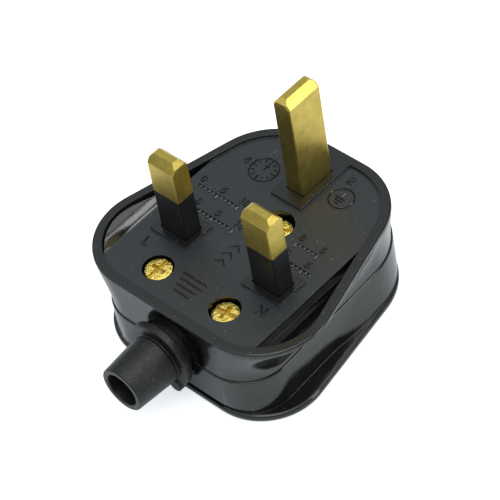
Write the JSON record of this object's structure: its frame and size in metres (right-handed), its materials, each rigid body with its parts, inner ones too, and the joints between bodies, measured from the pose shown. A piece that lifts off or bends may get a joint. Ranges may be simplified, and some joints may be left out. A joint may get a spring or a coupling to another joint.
{
  "type": "uk three pin plug",
  "caption": "Rewireable mains plug: rectangular brass pins, the live and neutral part sleeved, on a flared black housing with finger grips at the sides and a round cord guard at one end.",
  "frame": {"origin": "centre line of the flat back of the rear cover, directly below the point midway between the live and neutral pins", "axes": "+Z along the pins, away from the back; +X from the live pin to the neutral pin; +Y from the cord guard to the earth pin"},
  "size_m": [0.0498, 0.0603, 0.0427],
  "materials": {
    "housing_plastic": "glossy black moulded thermoset",
    "guard_plastic": "satin black flexible plastic, lightly grained",
    "sleeve_plastic": "black insulating plastic, satin",
    "grip_fibre": "dark pressed fibre",
    "pin_brass": "brushed brass with light handling marks",
    "screw_brass": "bright turned brass",
    "clip_brass": "rolled brass strip",
    "fuse_ceramic": "plain off-white ceramic",
    "fuse_metal": "dull nickel plate"
  },
  "bodies": {
    "root": {"base_moulding": "housing_plastic", "rear_cover": "housing_plastic", "earth_pin": "pin_brass", "live_pin": "pin_brass", "neutral_pin": "pin_brass", "live_pin_sleeve": "sleeve_plastic", "neutral_pin_sleeve": "sleeve_plastic", "earth_terminal_screw": "screw_brass", "neutral_terminal_screw": "screw_brass", "live_terminal": "clip_brass", "live_terminal_screw": "screw_brass", "pin_fuse_clip": "clip_brass", "pin_clip_rivet": "clip_brass", "terminal_fuse_clip": "clip_brass", "terminal_clip_rivet": "clip_brass", "fuse_tube": "fuse_ceramic", "fuse_pin_cap": "fuse_metal", "fuse_terminal_cap": "fuse_metal", "fuse_element": "fuse_metal", "cord_guard": "guard_plastic", "cord_clamp_bar": "grip_fibre", "left_grip_screw": "screw_brass", "right_grip_screw": "screw_brass", "left_grip_nut": "screw_brass", "right_grip_nut": "screw_brass", "cover_screw": "screw_brass", "cover_screw_insert": "screw_brass"}
  },
  "joints": []
}
